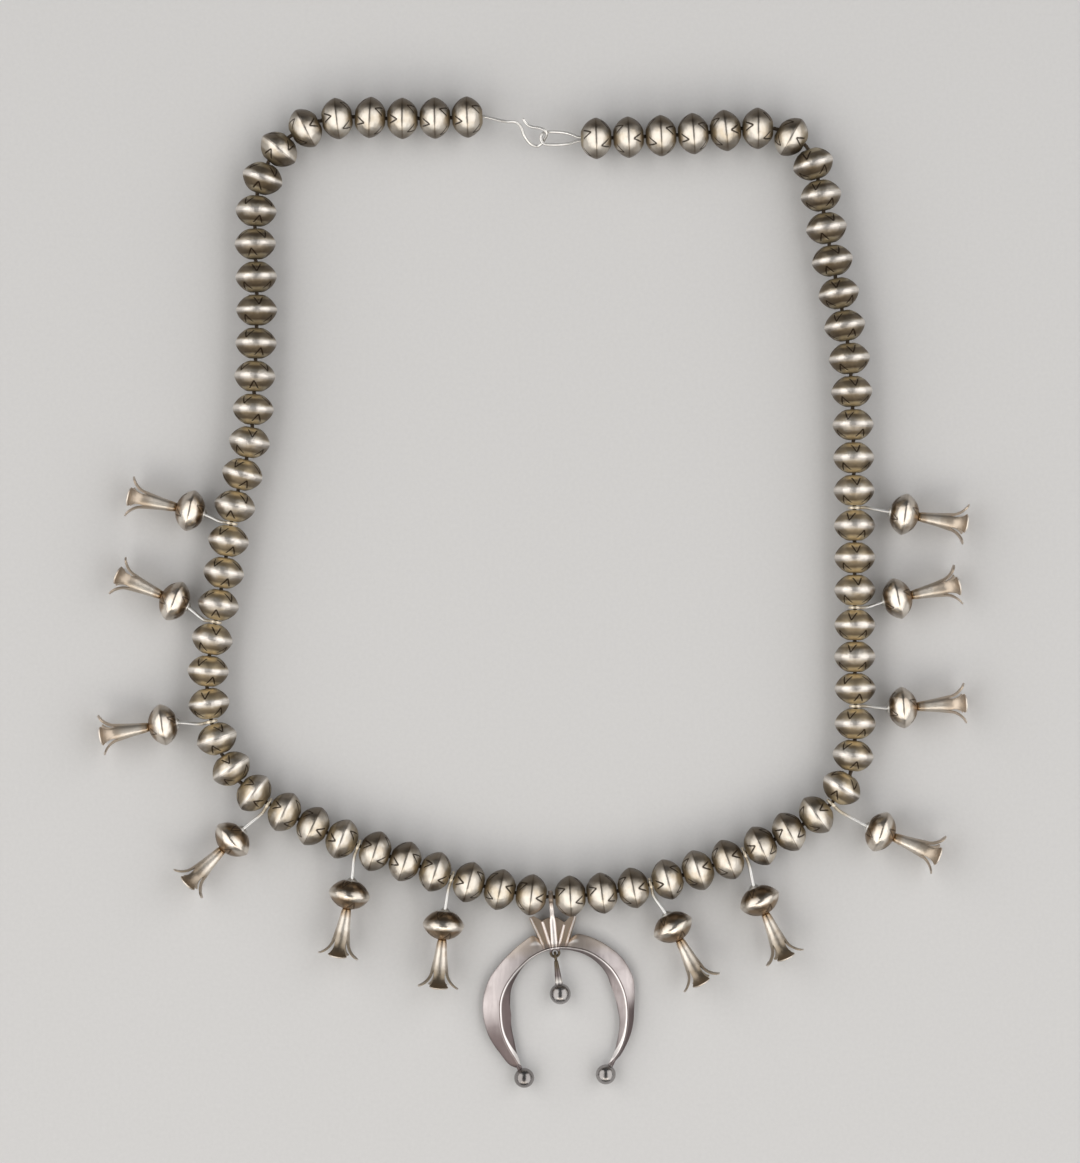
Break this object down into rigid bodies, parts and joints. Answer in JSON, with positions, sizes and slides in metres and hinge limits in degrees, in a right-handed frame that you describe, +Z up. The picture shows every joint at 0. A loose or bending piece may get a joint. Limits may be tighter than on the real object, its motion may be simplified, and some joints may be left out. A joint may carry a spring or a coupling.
{
  "type": "squash blossom necklace",
  "caption": "Silver squash blossom necklace: hollow beads, trumpet blossoms on shanks and a crescent naja with a drop, fastened by a hook and eye and lying on a surface.",
  "frame": {"origin": "on the surface that the necklace lies on, below the middle of its bounding box", "axes": "+Y from the naja to the clasp, +X to the right, +Z up from the surface"},
  "size_m": [0.2536, 0.288, 0.0122],
  "materials": {
    "bead_silver": "worn silver, tarnished golden brown round the holes",
    "blossom_silver": "worn silver, tarnished brown in the hollows",
    "cast_silver": "satin cast silver with a file's fine scratches",
    "wire_silver": "bright silver wire",
    "thread": "dark brown waxed cotton"
  },
  "bodies": {
    "root": {"beads_left": "bead_silver", "beads_right": "bead_silver", "thread": "thread", "clasp_hook": "wire_silver", "clasp_eye": "wire_silver", "naja": "cast_silver", "naja_drop": "cast_silver", "blossom_01": "blossom_silver", "blossom_02": "blossom_silver", "blossom_03": "blossom_silver", "blossom_04": "blossom_silver", "blossom_05": "blossom_silver", "blossom_06": "blossom_silver", "blossom_07": "blossom_silver", "blossom_08": "blossom_silver", "blossom_09": "blossom_silver", "blossom_10": "blossom_silver", "blossom_11": "blossom_silver", "blossom_12": "blossom_silver"}
  },
  "joints": []
}
